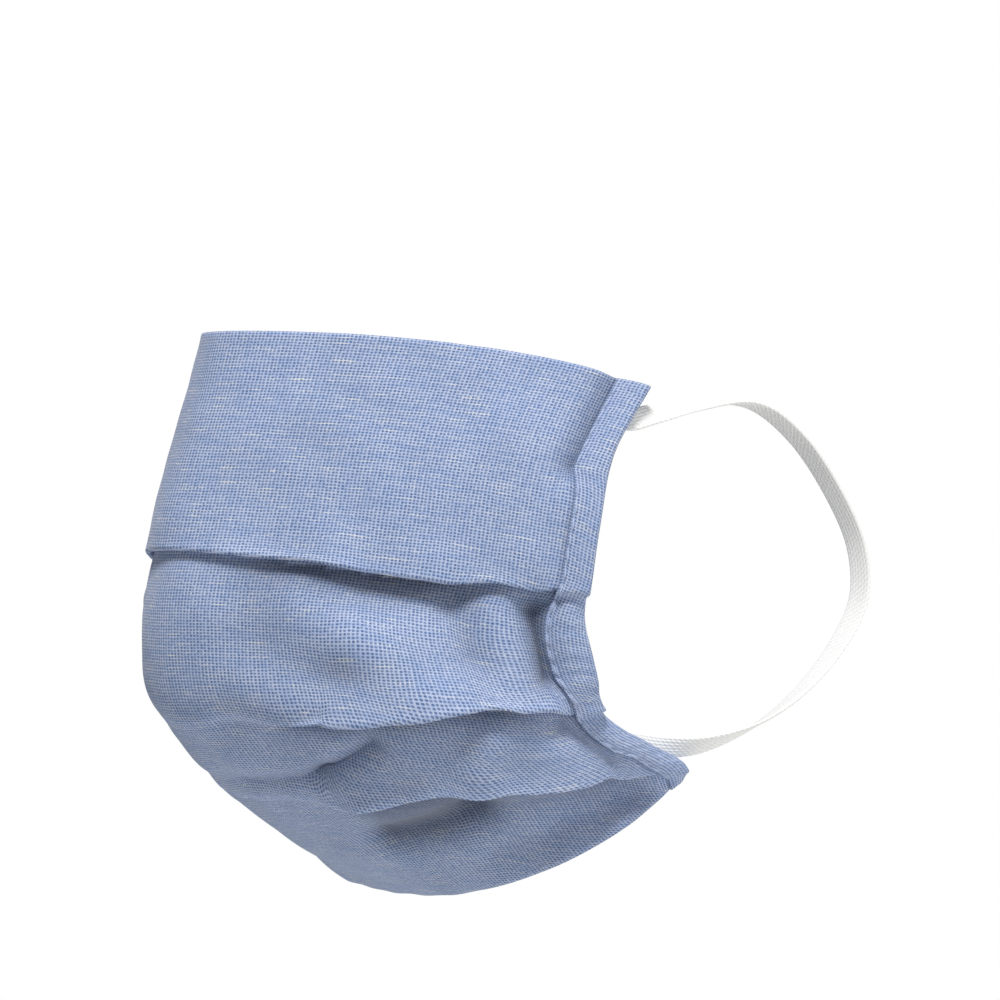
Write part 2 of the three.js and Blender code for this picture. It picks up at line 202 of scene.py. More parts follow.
# How much of the cloth taken up by dents and ridges shows as weave that runs less straight
TAKEN_SHARE = 0.6

# How finely the pieces are meshed
SURFACE_ROWS = 240
ROW_SAMPLES = 201
HALF_COLUMNS = 96
PANEL_FACES = (46, 50, 40, 34)
TURN_FACES = 8
BACK_FACES = 10
CASING_FACES = 44
STEP_FACES = 6
CASING_ARM_FACES = 16
CASING_TURN_FACES = 10
LOOP_FACES = 12
RIB_FACES = 8
STITCH_RINGS = 9
STITCH_SIDES = 8
FLOOR_SIDES = 96


def linear(colour):
    """Turns an sRGB hex colour into Blender's linear red, green and blue."""
    channels = [int(colour[i : i + 2], 16) / 255 for i in (1, 3, 5)]
    return tuple(c / 12.92 if c <= 0.04045 else ((c + 0.055) / 1.055) ** 2.4 for c in channels)


class ClothSettings(PropertyGroup):
    """Sizes and colours of the pleated chambray panel."""

    thickness: FloatProperty(
        name="Thickness",
        description="Thickness of the two plies of cotton together",
        default=0.55 * MM,
        min=0.3 * MM,
        unit="LENGTH",
    )
    layer_gap: FloatProperty(
        name="Layer gap",
        description="Air between the layers of a pleat",
        default=0.5 * MM,
        unit="LENGTH",
    )
    pleat_depth: FloatProperty(
        name="Pleat depth",
        description="How far each pleat covers the panel below it at the side hems",
        default=12 * MM,
        unit="LENGTH",
    )
    ripple: FloatProperty(
        name="Ripple",
        description="Height of the small ripples that washing leaves in the cloth",
        default=0.14 * MM,
        unit="LENGTH",
    )
    dot_spacing: FloatProperty(
        name="Dot spacing",
        description="Distance between the dark thread floats across the cloth",
        default=0.88 * MM,
        unit="LENGTH",
    )
    row_spacing: FloatProperty(
        name="Row spacing",
        description="Distance between the rows of thread floats down the cloth",
        default=0.665 * MM,
        unit="LENGTH",
    )
    thread_colour: FloatVectorProperty(
        name="Thread colour",
        description="Colour of the pale blue yarn",
        default=linear("#B8C3DE"),
        subtype="COLOR",
        min=0,
        max=1,
    )
    blue_colour: FloatVectorProperty(
        name="Blue colour",
        description="Colour of the yarn where the dye took most",
        default=linear("#9FB2D8"),
        subtype="COLOR",
        min=0,
        max=1,
    )
    slub_colour: FloatVectorProperty(
        name="Slub colour",
        description="Colour of the thick undyed slubs",
        default=linear("#DDDFE2"),
        subtype="COLOR",
        min=0,
        max=1,
    )
    float_colour: FloatVectorProperty(
        name="Float colour",
        description="Colour of the slate blue yarn that shows as small dots",
        default=linear("#56709E"),
        subtype="COLOR",
        min=0,
        max=1,
    )


class CasingSettings(PropertyGroup):
    """Sizes and colours of the casing folded round each side edge, and of its stitching."""

    width: FloatProperty(
        name="Width",
        description="Width of the folded casing",
        default=7.6 * MM,
        unit="LENGTH",
    )
    thickness: FloatProperty(
        name="Thickness",
        description="Thickness of the casing's wall",
        default=0.5 * MM,
        unit="LENGTH",
    )
    gap: FloatProperty(
        name="Gap",
        description="Room between the casing and the cloth that it holds",
        default=0.25 * MM,
        unit="LENGTH",
    )
    clear: FloatProperty(
        name="Clear",
        description="How far past a pleat's edge the casing runs before it steps down",
        default=1.3 * MM,
        unit="LENGTH",
    )
    step: FloatProperty(
        name="Step",
        description="Length of the casing's step down past a pleat's edge",
        default=1.3 * MM,
        unit="LENGTH",
    )
    stitch_inset: FloatProperty(
        name="Stitch inset",
        description="Distance of the stitching from the hem's outer edge",
        default=6.9 * MM,
        unit="LENGTH",
    )
    stitch_length: FloatProperty(
        name="Stitch length",
        description="Length of one stitch",
        default=2.9 * MM,
        min=1 * MM,
        unit="LENGTH",
    )
    stitch_space: FloatProperty(
        name="Stitch space",
        description="Cloth between two stitches",
        default=0.7 * MM,
        unit="LENGTH",
    )
    thread_width: FloatProperty(
        name="Thread width",
        description="Width of the sewing thread",
        default=0.32 * MM,
        unit="LENGTH",
    )
    pucker: FloatProperty(
        name="Pucker",
        description="How deep the stitching pulls into the casing",
        default=0.3 * MM,
        unit="LENGTH",
    )
    thread_colour: FloatVectorProperty(
        name="Sewing thread colour",
        description="Colour of the sewing thread",
        default=linear("#B7C5E3"),
        subtype="COLOR",
        min=0,
        max=1,
    )


class ElasticSettings(PropertyGroup):
    """Sizes and colour of the flat elastic and the way an ear loop runs."""

    width: FloatProperty(
        name="Width",
        description="Width of the flat elastic",
        default=5 * MM,
        unit="LENGTH",
    )
    thickness: FloatProperty(
        name="Thickness",
        description="Thickness of the flat elastic",
        default=0.95 * MM,
        unit="LENGTH",
    )
    seat_gap: FloatProperty(
        name="Seat gap",
        description="Room between the elastic's sewn end and the casing",
        default=0.3 * MM,
        unit="LENGTH",
    )
    reach: FloatProperty(
        name="Reach",
        description="How far a loop runs back behind the hem",
        default=57 * MM,
        unit="LENGTH",
    )
    flare: FloatProperty(
        name="Flare",
        description="How far a loop stands out to its side",
        default=13 * MM,
        unit="LENGTH",
    )
    ribs: IntProperty(
        name="Ribs",
        description="Rubber cores that show as ribs along the elastic",
        default=7,
        min=3,
    )
    colour: FloatVectorProperty(
        name="Colour",
        description="Colour of the elastic's polyester yarn",
        default=linear("#FAFAF8"),
        subtype="COLOR",
        min=0,
        max=1,
    )


class StageSettings(PropertyGroup):
    """The floor, the lights and the camera."""

    floor_height: FloatProperty(
        name="Floor height",
        description="Height of the floor under the hung mask",
        default=-0.34,
        unit="LENGTH",
    )
    floor_radius: FloatProperty(
        name="Floor radius",
        description="Radius of the round floor",
        default=1.1,
        unit="LENGTH",
    )
    floor_colour: FloatVectorProperty(
        name="Floor colour",
        description="Colour of the floor",
        default=linear("#ECECEA"),
        subtype="COLOR",
        min=0,
        max=1,
    )
    key_power: FloatProperty(
        name="Key power",
        description="Power of the large soft light above the camera, in watts",
        default=29.5,
    )
    fill_power: FloatProperty(
        name="Fill power",
        description="Power of the wide light beside the mask, in watts",
        default=8.5,
    )
    sky_strength: FloatProperty(
        name="Sky strength",
        description="Brightness of the even white light from all round",
        default=0.18,
    )


def mix(start, end, share):
    """A value between start and end."""
    return start + (end - start) * share


def ease(value, start, end):
    """Rises smoothly from 0 at start to 1 at end."""
    share = np.clip((value - start) / (end - start), 0, 1)
    return share * share * (3 - 2 * share)


def unit(vectors):
    """Vectors of length one."""
    return vectors / np.linalg.norm(vectors, axis=-1, keepdims=True)


def smooth_track(points, at):
    """Places on a centripetal Catmull-Rom curve through points, at numbers counted in points."""
    points = np.asarray(points, dtype=float)
    padded = np.vstack([2 * points[0] - points[1], points, 2 * points[-1] - points[-2]])
    k = np.clip(np.floor(at).astype(int), 0, len(points) - 2)
    share = (at - k)[:, None]
    p0, p1, p2, p3 = (padded[k + i] for i in range(4))
    d0, d1, d2 = (np.linalg.norm(b - a, axis=1)[:, None] ** 0.5 for a, b in ((p0, p1), (p1, p2), (p2, p3)))
    leave = ((p1 - p0) / d0 - (p2 - p0) / (d0 + d1) + (p2 - p1) / d1) * d1
    arrive = ((p2 - p1) / d1 - (p3 - p1) / (d1 + d2) + (p3 - p2) / d2) * d1
    square = -3 * p1 + 3 * p2 - 2 * leave - arrive
    cube = 2 * p1 - 2 * p2 + leave + arrive
    return p1 + share * (leave + share * (square + share * cube))


def run_length(points, axis):
    """How far it is along one axis of a grid of points, from its start to each of them."""
    steps = np.diff(points, axis=axis, prepend=np.take(points, [0], axis=axis))
    return np.cumsum(np.linalg.norm(steps, axis=-1), axis=axis)


def row_curves():
    """Every row of one half as a fine curve, with the length along it up to each of its points."""
    tracks = (
        [(0, *row["mid"]) for row in ROWS],
        [(row["round"], *row["mid"]) for row in ROWS],
        [row["cheek"] for row in ROWS],
        [row["hem"] for row in ROWS],
    )
    at = np.linspace(0, len(ROWS) - 1, SURFACE_ROWS + 1)
    controls = [smooth_track(np.array(track) * WORN, at)[:, None] for track in tracks]
    t = np.linspace(0, 1, ROW_SAMPLES)[None, :, None]
    weights = ((1 - t) ** 3, 3 * (1 - t) ** 2 * t, 3 * (1 - t) * t**2, t**3)
    curves = sum(weight * control for weight, control in zip(weights, controls))
    return curves, run_length(curves, axis=1)


ROW_CURVES, ROW_LENGTHS = row_curves()
HALF_WIDTH = ROW_LENGTHS[0, -1]


def smooth_surface(across):
    """The worn surface without its dents, as rows of places at each share across, from -1 to 1."""
    places = np.empty((SURFACE_ROWS + 1, len(across), 3))
    for i, (curve, lengths) in enumerate(zip(ROW_CURVES, ROW_LENGTHS)):
        for axis in range(3):
            places[i, :, axis] = np.interp(np.abs(across) * lengths[-1], lengths, curve[:, axis])
    places[:, :, 0] *= np.sign(across)
    return places


def outward(surface, across):
    """The outward normals of a surface function at each share across."""
    aside = 0.01
    sideways = surface(np.minimum(across + aside, 1)) - surface(np.maximum(across - aside, -1))
    down = np.gradient(surface(across), axis=0)
    return unit(np.cross(down, sideways))


def surface_row(row):
    """The number of the fine row at a tabled row."""
    return row / (len(ROWS) - 1) * SURFACE_ROWS


def crease_sum(places, kind):
    """Adds up one column of the tabled creases at each place, each fading away from its line."""
    mirrored = places.copy()
    mirrored[..., 0] = np.abs(places[..., 0])
    left = ease(places[..., 0], -RIGHT_FADES_OVER, RIGHT_FADES_OVER)
    total = np.zeros(places.shape[:-1])
    for crease in CREASES:
        ends = []
        for across, row in (crease["from"], crease["to"]):
            ends.append(smooth_surface(np.array([across]))[round(surface_row(row)), 0])
        line = ends[1] - ends[0]
        share = np.clip((mirrored - ends[0]) @ line / (line @ line), 0, 1)
        distance = np.linalg.norm(mirrored - ends[0] - share[..., None] * line, axis=-1)
        full = crease.get(kind, 0) * mix(crease.get("right", 1), 1, left)
        total += full * np.exp(-((distance / (crease["width"] * MM)) ** 2))
    return total


def ripples(places, height, longest, shortest, count, seed):
    """Small smooth ripples through space, from seeded waves of many lengths and directions."""
    rng = np.random.default_rng(seed)
    total = np.zeros(places.shape[:-1])
    for _ in range(count):
        direction = unit(rng.normal(size=3))
        length = math.exp(rng.uniform(math.log(shortest), math.log(longest)))
        total += np.sin(places @ direction * (2 * math.pi / length) + rng.uniform(0, 2 * math.pi))
    return total * height * math.sqrt(2 / count)


class Columns:
    """Lines down the worn surface from the top edge to the bottom one, each at its own share across."""

    def __init__(self, across, ripple):
        self.across = np.asarray(across, dtype=float)
        self.ripple = ripple
        self.points = self.creased_surface(self.across)
        self.normals = outward(self.creased_surface, self.across)
        self.lengths = run_length(self.points, axis=0)
        # The same without dents and ridges, and how much cloth they take up from the middle line out
        smooth = smooth_surface(self.across)
        self.threads = run_length(smooth, axis=0)
        taken = run_length(self.points, axis=1) - run_length(smooth, axis=1)
        self.taken = taken - taken[:, len(self.across) // 2, None]
        # The painted shade that the creases' valleys put into the cloth's colour
        self.dark = crease_sum(smooth, "dark")

    def creased_surface(self, across):
        """The worn surface pushed out and in by its creases and ripples."""
        places = smooth_surface(across)
        push = crease_sum(places, "height") * MM
        push += ripples(places, self.ripple, longest=26 * MM, shortest=9 * MM, count=40, seed=3)
        return places + outward(smooth_surface, across) * push[..., None]

    def at_row(self, row):
        """Distances along the columns at a tabled row, or at one row for each column."""
        at = surface_row(np.broadcast_to(row, self.across.shape))
        i = np.minimum(at.astype(int), SURFACE_ROWS - 1)
        column = np.arange(len(self.across))
        return mix(self.lengths[i, column], self.lengths[i + 1, column], at - i)

    def sample(self, values, along):
        """Reads points or normals at distances along, one line of distances for each column."""
        found = np.empty(along.shape + (3,))
        for column, lengths in enumerate(self.lengths.T):
            for axis in range(3):
                found[:, column, axis] = np.interp(along[:, column], lengths, values[:, column, axis])
        return found

    def weave(self, along):
        """Places in the weave at distances along, with a share of what dents and ridges take up."""
        down = np.empty(along.shape)
        over = np.empty(along.shape)
        for column, lengths in enumerate(self.lengths.T):
            threads = mix(self.threads[:, column], lengths, TAKEN_SHARE)
            down[:, column] = np.interp(along[:, column], lengths, threads)
            taken = self.taken[:, column] * TAKEN_SHARE
            over[:, column] = self.across[column] * HALF_WIDTH + np.interp(along[:, column], lengths, taken)
        return np.stack([over, -down], axis=-1).reshape(-1, 2) / MM

    def place(self, along, height):
        """Places at distances along the columns and heights off the surface."""
        return self.sample(self.points, along) + self.sample(self.normals, along) * height[..., None]


def pleat_folds(columns, cloth):
    """Where each pleat's edge lies at every column, and how it overlaps, closes, lifts and shelters."""
    across = np.abs(columns.across)
    later = np.where(columns.across < 0, RIGHT_BOWS_LATER, 0)
    folds = []
    for pleat in PLEATS:
        whole = ease(across, pleat["opens_from"], 1)
        row = mix(pleat["middle_row"], pleat["row"], ease(across, *pleat["settles"]))
        start, rise, fall, end = pleat["bows"]
        edge = columns.at_row(row)
        overlap = cloth.pleat_depth * mix(pleat["overlap"], 1, whole)
        opens = pleat["opens_from"] + later
        closed = mix(pleat["closed"], 1, ease(across, opens, opens + CLOSES_OVER))
        opening = pleat["opening"] * MM
        lift = pleat["lift"] * MM * ease(across - later, start, rise) * (1 - ease(across, fall, end))
        folds.append(
            {
                "edge": edge,
                "overlap": overlap,
                "closed": closed,
                "opening": opening,
                "lip": mix(edge - opening, edge, closed),
                "inner": mix(edge + opening, edge - overlap, closed),
                "lift": lift,
                "reach": pleat["reach"] * MM,
                "shade_reach": pleat["shade_reach"] * MM,
                "dark": pleat["dark"],
            }
        )
    return folds


def turn_radius(cloth):
    """The radius of the cloth's middle where a pleat turns back on itself."""
    return (cloth.thickness + cloth.layer_gap) / 2


def panel_height(along, above, below, radius):
    """The height of the cloth between two pleats, which climbs onto the layers of the lower one."""
    if below is None:
        return np.zeros(along.shape)
    start = 0 if above is None else above["edge"]
    end = np.maximum(below["edge"] - below["overlap"] - 2 * radius, start + radius)
    # A closed pleat has two layers under the visible one, each two radii high
    layers = 4 * radius * below["closed"] * ease(along, start, end)
    flare = np.clip((along - below["lip"]) / below["reach"] + 1, 0, 1)
    return layers + below["lift"] * flare**2


def pleat_path(fold, radius):
    """One pleat down each column, as distances along and heights: round, back up and round again."""
    turn = np.linspace(0, math.pi, TURN_FACES + 1)[:, None]
    back = np.linspace(0, 1, BACK_FACES + 1)[1:-1, None]
    edge, overlap, closed = fold["edge"], fold["overlap"], fold["closed"]
    step = np.full(edge.shape, radius)
    sinking = np.clip(1 - back * np.maximum(overlap / fold["reach"], 1), 0, 1)
    along = np.vstack(
        [edge + radius * np.sin(turn), edge - overlap * back, edge - overlap - radius * np.sin(turn)]
    )
    height = np.vstack(
        [
            fold["lift"] + step * (3 + np.cos(turn)),
            fold["lift"] * sinking**2 + 2 * step,
            step * (1 + np.cos(turn)),
        ]
    )
    # An open pleat lies flat: of seven parts of its cloth, two are in each turn and three between them
    share = np.vstack([turn / math.pi * 2, 2 + back * 3, 5 + turn / math.pi * 2]) / 7
    open_along = edge + fold["opening"] * (2 * share - 1)
    open_height = fold["lift"] * (1 - ease(share, 0, 1))
    return mix(open_along, along, closed), mix(open_height, height, closed)


def cloth_path(columns, cloth):
    """The middle of the cloth down each column, as distances along the surface and heights off it."""
    radius = turn_radius(cloth)
    folds = pleat_folds(columns, cloth)
    start = np.zeros(len(columns.across))
    along_parts = []
    height_parts = []
    for k in range(len(folds) + 1):
        above = folds[k - 1] if k > 0 else None
        below = folds[k] if k < len(folds) else None
        end = columns.lengths[-1] if below is None else below["lip"]
        share = np.linspace(0, 1, PANEL_FACES[k] + 1)[:, None]
        share = share[(0 if k == 0 else 1) : (None if below is None else -1)]
        along = mix(start, end, share)
        along_parts.append(along)
        height_parts.append(panel_height(along, above, below, radius))
        if below is not None:
            pleat_along, pleat_height = pleat_path(below, radius)
            along_parts.append(pleat_along)
            height_parts.append(pleat_height)
            start = below["inner"]
    return np.vstack(along_parts), np.vstack(height_parts)


def cloth_wear_and_painted_light(columns, along, folds):
    """Millimetres from each place to the nearest folded edge, and the painted shade below the folds' lips and
    in the creases' valleys.
    """
    near = np.min([np.abs(along - fold["lip"]) for fold in folds], axis=0) / MM
    painted_shade = np.zeros(along.shape)
    # Painted shade: darkening painted below each standing lip, fading with the distance from it
    for fold in folds:
        below = along - fold["lip"] - LIP_RIM
        stands = fold["lift"] / np.max(fold["lift"])
        share = fold["dark"] * stands * np.exp(-((below / fold["shade_reach"]) ** 2))
        painted_shade = np.maximum(painted_shade, np.where(below > 0, share, 0))
    # Painted shade along the creases' valleys
    for column, lengths in enumerate(columns.lengths.T):
        painted_shade[:, column] += np.interp(along[:, column], lengths, columns.dark[:, column])
    painted_shade = np.minimum(painted_shade, 1)
    return np.column_stack([near.ravel(), painted_shade.ravel()])


def make_piece(name, vertices, faces, uv, material, wear_and_painted_light=None):
    """Makes a smooth mesh object that rides on root, with its places in the cloth in millimetres."""
    mesh = bpy.data.meshes.new(name)
    mesh.from_pydata(vertices.tolist(), [], [list(face) for face in faces])
    corners = np.empty(len(mesh.loops), dtype=np.int32)
    mesh.loops.foreach_get("vertex_index", corners)
    maps = {"cloth_mm": uv}
    if wear_and_painted_light is not None:
        maps["wear_and_painted_light"] = wear_and_painted_light
    for map_name, values in maps.items():
        layer = mesh.uv_layers.new(name=map_name)
        layer.data.foreach_set("uv", values[corners].astype(np.float32).ravel())
    mesh.shade_smooth()
    mesh.update()
    piece = bpy.data.objects.new(name, mesh)
    bpy.context.scene.collection.objects.link(piece)
    mesh.materials.append(material)
    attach(piece, "root")
    return piece


def grid_faces(rows, columns, first=0, wrap=False):
    """Four-sided faces over a grid of places numbered row by row."""
    numbers = first + np.arange(rows * columns).reshape(rows, columns)
    if wrap:
        numbers = np.hstack([numbers, numbers[:, :1]])
    corners = (numbers[:-1, :-1], numbers[:-1, 1:], numbers[1:, 1:], numbers[1:, :-1])
    return np.stack([corner.ravel() for corner in corners], axis=1)


def strip_faces(one, other):
    """Four-sided faces between two lines of place numbers."""
    return np.stack([one[:-1], one[1:], other[1:], other[:-1]], axis=1)


def add_node(tree, kind, settings=None, inputs=None):
    """Adds a node with its settings, and sets or links its inputs."""
    node = tree.nodes.new(kind)
    for name, value in (settings or {}).items():
        setattr(node, name, value)
    for name, value in (inputs or {}).items():
        if isinstance(value, bpy.types.NodeSocket):
            tree.links.new(value, node.inputs[name])
        else:
            node.inputs[name].default_value = value
    return node


def new_material(name, finish):
    """A material with a Principled shader, set to its even finish and linked to its output."""
    material = bpy.data.materials.new(name)
    material.use_nodes = True
    tree = material.node_tree
    tree.nodes.clear()
    shader = add_node(tree, "ShaderNodeBsdfPrincipled", inputs=finish)
    add_node(tree, "ShaderNodeOutputMaterial", inputs={"Surface": shader.outputs[0]})
    return material, tree, shader


def shaded(colour, share):
    """A share of a colour, with its alpha."""
    return (*(channel * share for channel in colour), 1)


def woven_chambray(cloth, name, wear_and_painted_light):
    """Woven cotton chambray: matt pale blue yarn, slightly fuzzy, with slate blue floats as fine dots."""
    finish = {
        "Roughness": 0.92,
        "IOR": 1.53,
        "Specular IOR Level": 0.25,
        "Sheen Weight": 0.2,
        "Sheen Roughness": 0.45,
    }
    material, tree, shader = new_material(name, finish)
    place = add_node(tree, "ShaderNodeUVMap", {"uv_map": "cloth_mm"}).outputs[0]

    # The floats lie in a grid that the loom keeps, each a little out of place and of its own strength:
    # soft dots, whole out to a quarter of the way to the next one and gone at half of it
    spacing = (MM / cloth.dot_spacing, MM / cloth.row_spacing, 1)
    grid = add_node(tree, "ShaderNodeMapping", inputs={"Vector": place, "Scale": spacing})
    floats = add_node(
        tree,
        "ShaderNodeTexVoronoi",
        {"voronoi_dimensions": "2D", "feature": "F1"},
        {"Vector": grid.outputs[0], "Scale": 1, "Randomness": 0.16},
    )
    dot = add_node(
        tree,
        "ShaderNodeMapRange",
        {"interpolation_type": "SMOOTHSTEP"},
        {"Value": floats.outputs["Distance"], "From Min": 0.48, "From Max": 0.24, "To Min": 0, "To Max": 1},
    )
    own = add_node(tree, "ShaderNodeSeparateColor", inputs={"Color": floats.outputs["Color"]})
    strength = add_node(
        tree,
        "ShaderNodeMapRange",
        inputs={"Value": own.outputs[0], "From Min": 0, "From Max": 1, "To Min": 0.72, "To Max": 1},
    )
    dark = add_node(
        tree, "ShaderNodeMath", {"operation": "MULTIPLY"}, {0: dot.outputs[0], 1: strength.outputs[0]}
    )

    # The dye takes unevenly along each yarn, in blue stretches about 1 mm wide: 14 mm long on the weft
    # and 22 mm on the warp, which counts for less. Slubs are thick pale stretches of weft, 10 mm by
    # 0.7 mm. Each pair says how many stretches fit in a millimetre across and down.
    stretches = []
    for across, down in ((0.07, 0.9), (1, 0.045), (0.1, 1.5)):
        along_thread = add_node(
            tree, "ShaderNodeMapping", inputs={"Vector": place, "Scale": (across, down, 1)}
        )
        stretch = add_node(
            tree,
            "ShaderNodeTexNoise",
            {"noise_dimensions": "2D"},
            {"Vector": along_thread.outputs[0], "Scale": 1, "Detail": 2, "Roughness": 0.6},
        )
        stretches.append(stretch.outputs["Fac"])
    weft, warp, slub = stretches
    both = add_node(tree, "ShaderNodeMix", {"data_type": "FLOAT"}, {0: 0.38, 2: weft, 3: warp})
    blue = add_node(
        tree,
        "ShaderNodeMapRange",
        {"interpolation_type": "SMOOTHSTEP"},
        {"Value": both.outputs[0], "From Min": 0.42, "From Max": 0.6, "To Min": 0, "To Max": 0.7},
    )
    ground = add_node(
        tree,
        "ShaderNodeMix",
        {"data_type": "RGBA"},
        {0: blue.outputs[0], 6: shaded(cloth.thread_colour, 1), 7: shaded(cloth.blue_colour, 1)},
    )
    pale = add_node(
        tree,
        "ShaderNodeMapRange",
        {"interpolation_type": "SMOOTHSTEP"},
        {"Value": slub, "From Min": 0.62, "From Max": 0.74, "To Min": 0, "To Max": 0.8},
    )
    slubbed = add_node(
        tree,
        "ShaderNodeMix",
        {"data_type": "RGBA"},
        {0: pale.outputs[0], 6: ground.outputs[2], 7: shaded(cloth.slub_colour, 1)},
    )

    # Uneven dye, in patches about 20 mm wide
    patches = add_node(
        tree,
        "ShaderNodeTexNoise",
        {"noise_dimensions": "2D"},
        {"Vector": place, "Scale": 0.05, "Detail": 3, "Roughness": 0.5},
    )
    dye = add_node(
        tree,
        "ShaderNodeMapRange",
        inputs={
            "Value": patches.outputs["Fac"],
            "From Min": 0.3,
            "From Max": 0.7,
            "To Min": 0.95,
            "To Max": 1.04,
        },
    )
    value = dye.outputs[0]
    if wear_and_painted_light:
        # Folded edges are paler within about a millimetre: rubbed pale by wear, and a painted highlight where
        # the edges catch the light
        # This map holds the distance to the nearest folded edge and the painted shade
        worn = add_node(tree, "ShaderNodeUVMap", {"uv_map": "wear_and_painted_light"})
        edge_and_shade = add_node(tree, "ShaderNodeSeparateXYZ", inputs={0: worn.outputs[0]})
        rubbed_and_highlight = add_node(
            tree,
            "ShaderNodeMapRange",
            {"interpolation_type": "SMOOTHSTEP"},
            {
                "Value": edge_and_shade.outputs[0],
                "From Min": 0.3,
                "From Max": 1.8,
                "To Min": 1.1,
                "To Max": 1,
            },
        )
        # Painted shade: cloth below a fold's lip and in a crease's valley is painted darker
        painted_shade = add_node(
            tree,
            "ShaderNodeMapRange",
            inputs={
                "Value": edge_and_shade.outputs[1],
                "From Min": 0,
                "From Max": 1,
                "To Min": 1,
                "To Max": 0.35,
            },
        )
        for factor in (rubbed_and_highlight, painted_shade):
            value = add_node(
                tree, "ShaderNodeMath", {"operation": "MULTIPLY"}, {0: value, 1: factor.outputs[0]}
            ).outputs[0]

    yarn = add_node(
        tree,
        "ShaderNodeMix",
        {"data_type": "RGBA"},
        {0: dark.outputs[0], 6: slubbed.outputs[2], 7: shaded(cloth.float_colour, 1)},
    )
    toned = add_node(
        tree, "ShaderNodeVectorMath", {"operation": "SCALE"}, {0: yarn.outputs[2], "Scale": value}
    )
    tree.links.new(toned.outputs[0], shader.inputs["Base Color"])

    # Relief: the floats sink between the yarns, over a fuzz about 0.3 mm wide
    fuzz = add_node(
        tree,
        "ShaderNodeTexNoise",
        {"noise_dimensions": "2D"},
        {"Vector": place, "Scale": 3.2, "Detail": 3, "Roughness": 0.7},
    )
    sunk = add_node(
        tree, "ShaderNodeMath", {"operation": "SUBTRACT"}, {0: fuzz.outputs["Fac"], 1: dark.outputs[0]}
    )
    relief = add_node(
        tree, "ShaderNodeBump", inputs={"Strength": 0.5, "Distance": 0.12 * MM, "Height": sunk.outputs[0]}
    )
    tree.links.new(relief.outputs[0], shader.inputs["Normal"])
    return material


def spun_polyester(casing, name):
    """Spun polyester sewing thread: paler than the cloth, with a slight gloss and a fine twist."""
    material, tree, shader = new_material(name, {"Roughness": 0.55, "IOR": 1.57})
    place = add_node(tree, "ShaderNodeUVMap", {"uv_map": "cloth_mm"}).outputs[0]
    # The twist crosses the thread every 1.1 mm, drawn coarser than real so that it shows at all
    twist = add_node(
        tree,
        "ShaderNodeTexWave",
        {"bands_direction": "DIAGONAL"},
        {"Vector": place, "Scale": 0.55, "Distortion": 0},
    )
    shade = add_node(
        tree,
        "ShaderNodeMix",
        {"data_type": "RGBA"},
        {
            0: twist.outputs["Fac"],
            6: shaded(casing.thread_colour, 0.8),
            7: shaded(casing.thread_colour, 1),
        },
    )
    tree.links.new(shade.outputs[2], shader.inputs["Base Color"])
    relief = add_node(
        tree,
        "ShaderNodeBump",
        inputs={"Strength": 0.4, "Distance": 0.05 * MM, "Height": twist.outputs["Fac"]},
    )
    tree.links.new(relief.outputs[0], shader.inputs["Normal"])
    return material


def knitted_elastic(elastic, name):
    """Knitted polyester elastic: soft white yarn over rubber cores, with fine slanted stitches."""
    finish = {"Roughness": 0.7, "IOR": 1.57, "Sheen Weight": 0.15, "Sheen Roughness": 0.4}
    material, tree, shader = new_material(name, finish)
    place = add_node(tree, "ShaderNodeUVMap", {"uv_map": "cloth_mm"}).outputs[0]
    # Slanted knit stitches 0.9 mm apart, which is 1.3 mm along the band
    stitches = add_node(
        tree,
        "ShaderNodeTexWave",
        {"bands_direction": "DIAGONAL", "wave_profile": "SIN"},
        {"Vector": place, "Scale": 0.5, "Distortion": 1.2, "Detail": 2, "Detail Scale": 2},
    )
    shade = add_node(
        tree,
        "ShaderNodeMix",
        {"data_type": "RGBA"},
        {0: stitches.outputs["Fac"], 6: shaded(elastic.colour, 0.93), 7: shaded(elastic.colour, 1)},
    )
    tree.links.new(shade.outputs[2], shader.inputs["Base Color"])
    relief = add_node(
        tree,
        "ShaderNodeBump",
        inputs={"Strength": 0.5, "Distance": 0.1 * MM, "Height": stitches.outputs["Fac"]},
    )
    tree.links.new(relief.outputs[0], shader.inputs["Normal"])
    return material


def matt_paper(stage, name):
    """Matt paper sweep: pale, with a grain too faint to draw the eye."""
    material, tree, shader = new_material(name, {"Roughness": 0.95, "IOR": 1.5})
    # Paper grain about 4 mm wide, drawn coarser than real so that it shows at all
    place = add_node(tree, "ShaderNodeTexCoord").outputs["Object"]
    grain = add_node(
        tree, "ShaderNodeTexNoise", inputs={"Vector": place, "Scale": 250, "Detail": 2, "Roughness": 0.5}
    )
    shade = add_node(
        tree,
        "ShaderNodeMix",
        {"data_type": "RGBA"},
        {
            0: grain.outputs["Fac"],
            6: shaded(stage.floor_colour, 0.985),
            7: shaded(stage.floor_colour, 1),
        },
    )
    tree.links.new(shade.outputs[2], shader.inputs["Base Color"])
    return material


def cloth_faces(columns, cloth):
    """The cloth's outer and inner face, and the distances along that they stand on."""
    along, height = cloth_path(columns, cloth)
    run_along = np.gradient(along, axis=0)
    run_height = np.gradient(height, axis=0)
    length = np.hypot(run_along, run_height)
    half = cloth.thickness / 2
    lean = run_height / length * half
    rise = run_along / length * half
    outer = columns.place(along - lean, height + rise)
    inner = columns.place(along + lean, height - rise)
    return outer, inner, along


